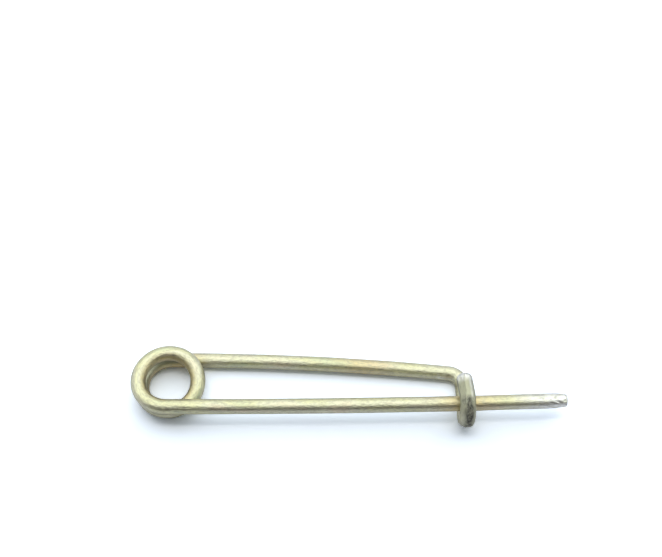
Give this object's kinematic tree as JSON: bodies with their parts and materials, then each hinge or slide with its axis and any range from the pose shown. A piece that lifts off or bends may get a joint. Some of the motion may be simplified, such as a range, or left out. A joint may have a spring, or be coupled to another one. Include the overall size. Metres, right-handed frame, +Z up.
{
  "type": "locking pin",
  "caption": "Closed safety locking pin bent from plated spring wire: a straight leg with a tapered tip, a round coil, and an arm whose hook latches around the leg.",
  "frame": {"origin": "on the surface that the pin lies on, under the middle of its outline", "axes": "+X along the leg from the coil to the tip, +Y from the leg towards the arm, +Z up out of the plane that the pin lies in"},
  "size_m": [0.0722, 0.0144, 0.0077],
  "materials": {
    "plated_wire": "yellow passivated zinc plate, satin, with faint lengthwise draw marks"
  },
  "bodies": {
    "root": {"spring_wire": "plated_wire"}
  },
  "joints": []
}
